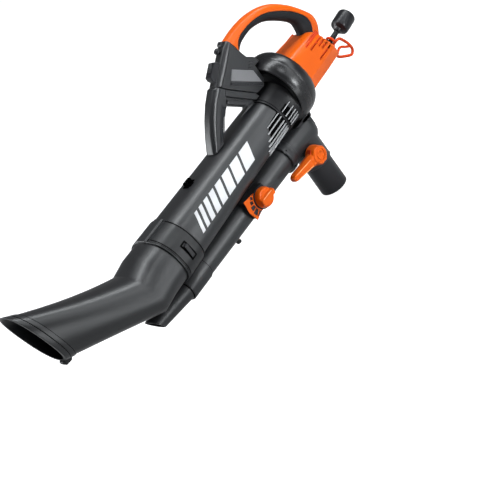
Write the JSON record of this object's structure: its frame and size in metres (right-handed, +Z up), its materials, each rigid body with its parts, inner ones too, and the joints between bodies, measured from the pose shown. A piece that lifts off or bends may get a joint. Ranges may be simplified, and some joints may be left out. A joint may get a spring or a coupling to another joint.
{
  "type": "leaf blower vacuum",
  "caption": "Hand-held electric garden blower and vacuum: wide suction tube with angled nozzle, slim blow tube below, fan and motor housing, loop handle and bag outlet.",
  "frame": {"origin": "middle of the hand grip, on the machine's middle plane", "axes": "+X points back from the nozzle to the plug along the tubes, +Y to the operator's right, away from the dial and mode lever, +Z up from the tubes to the handle"},
  "size_m": [1.2043, 0.1812, 0.4704],
  "materials": {
    "charcoal_plastic": "fine satin, moulded",
    "black_plastic": "satin, moulded",
    "orange_plastic": "semi-gloss, moulded",
    "soft_grip": "matte, over-moulded",
    "grey_plastic": "fine texture",
    "steel": "machined",
    "cast_alloy": "cast",
    "copper_winding": "varnished winding",
    "carbon_brush": "pressed carbon"
  },
  "bodies": {
    "machine": {"blower_coupling": "charcoal_plastic", "blower_tip": "charcoal_plastic", "blower_tube": "charcoal_plastic", "brush_left": "carbon_brush", "brush_right": "carbon_brush", "control_box": "black_plastic", "cord_hook": "orange_plastic", "dial_base": "black_plastic", "diverter_housing": "black_plastic", "fan_housing_front": "black_plastic", "fan_housing_rear": "black_plastic", "front_bearing": "steel", "front_bracket": "cast_alloy", "front_housing_left": "black_plastic", "front_housing_right": "black_plastic", "grip_insert": "soft_grip", "handle_bracket": "black_plastic", "handle_screw_1": "steel", "handle_screw_2": "steel", "handle_shell_left": "orange_plastic", "handle_shell_right": "orange_plastic", "housing_screw_1": "steel", "housing_screw_2": "steel", "louvre_panel_left": "black_plastic", "louvre_panel_right": "black_plastic", "motor_cover_left": "orange_plastic", "motor_cover_right": "orange_plastic", "nozzle": "charcoal_plastic", "nozzle_lip": "charcoal_plastic", "plug_blade_left": "steel", "plug_blade_right": "steel", "plug_body": "soft_grip", "potentiometer": "steel", "rear_bearing": "steel", "rear_bracket": "cast_alloy", "rocker_pin": "steel", "scale_plate": "orange_plastic", "side_panel_left": "grey_plastic", "side_panel_right": "grey_plastic", "stator": "steel", "strain_relief": "soft_grip", "strap_eyelet": "black_plastic", "strap_stud": "black_plastic", "switch_housing": "black_plastic", "tube_collar": "charcoal_plastic", "vac_outlet": "black_plastic", "vacuum_tube": "charcoal_plastic"},
    "rotor": {"motor_shaft": "steel", "armature": "copper_winding", "commutator": "copper_winding", "impeller": "cast_alloy", "impeller_nut": "steel"},
    "mode_selector": {"mode_lever": "orange_plastic", "lever_cap": "orange_plastic", "flap_shaft": "steel", "diverter_flap": "black_plastic"},
    "dial": {"speed_dial": "orange_plastic", "dial_shaft": "steel"},
    "rocker": {"power_rocker": "charcoal_plastic"},
    "latch": {"latch_button": "black_plastic"}
  },
  "joints": [
    {"name": "rotor_spin", "type": "hinge", "parent": "machine", "child": "rotor", "pos_m": [0, 0, -0.142], "axis": [1, 0, 0], "continuous": true},
    {"name": "mode_turn", "type": "hinge", "parent": "machine", "child": "mode_selector", "pos_m": [-0.163, 0, -0.3035], "axis": [0, -1, 0], "range_deg": [0, 90]},
    {"name": "dial_turn", "type": "hinge", "parent": "machine", "child": "dial", "pos_m": [-0.35, 0, -0.262], "axis": [0, -1, 0], "range_deg": [0, 150]},
    {"name": "rocker_tilt", "type": "hinge", "parent": "machine", "child": "rocker", "pos_m": [-0.2244, 0, 0.02183], "axis": [0, 1, 0], "range_deg": [0, 12]},
    {"name": "latch_press", "type": "slide", "parent": "machine", "child": "latch", "axis": [0, 1, 0], "range_m": [0, 0.0015], "stiffness_N_per_m": 400, "springref_m": -0.002}
  ]
}
